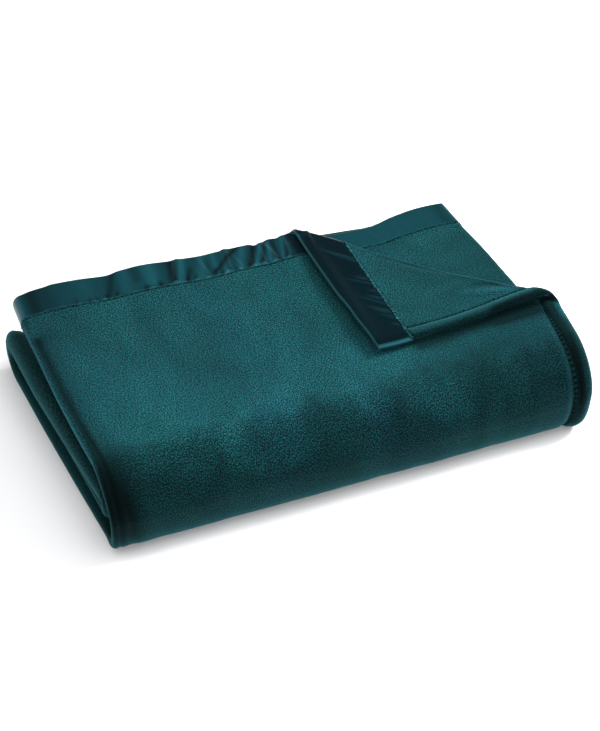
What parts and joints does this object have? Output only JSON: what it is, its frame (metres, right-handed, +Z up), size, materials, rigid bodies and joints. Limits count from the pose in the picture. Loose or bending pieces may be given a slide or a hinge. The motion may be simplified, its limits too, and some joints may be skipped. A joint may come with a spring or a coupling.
{
  "type": "folded plush blanket",
  "caption": "Plush blanket folded into a low pack, with a satin binding along its head edge and the back right corner of its top ply turned back",
  "frame": {"origin": "bottom centre of the folded pack, on the surface it lies on", "axes": "+X along the front fold to the right, +Y from the front fold to the satin edge at the back, +Z up"},
  "size_m": [0.6164, 0.36, 0.1078],
  "materials": {
    "plush": "short dark teal plush pile",
    "satin": "dark teal satin with a soft gloss"
  },
  "bodies": {
    "root": {"plush_cloth": "plush", "satin_binding": "satin"}
  },
  "joints": []
}
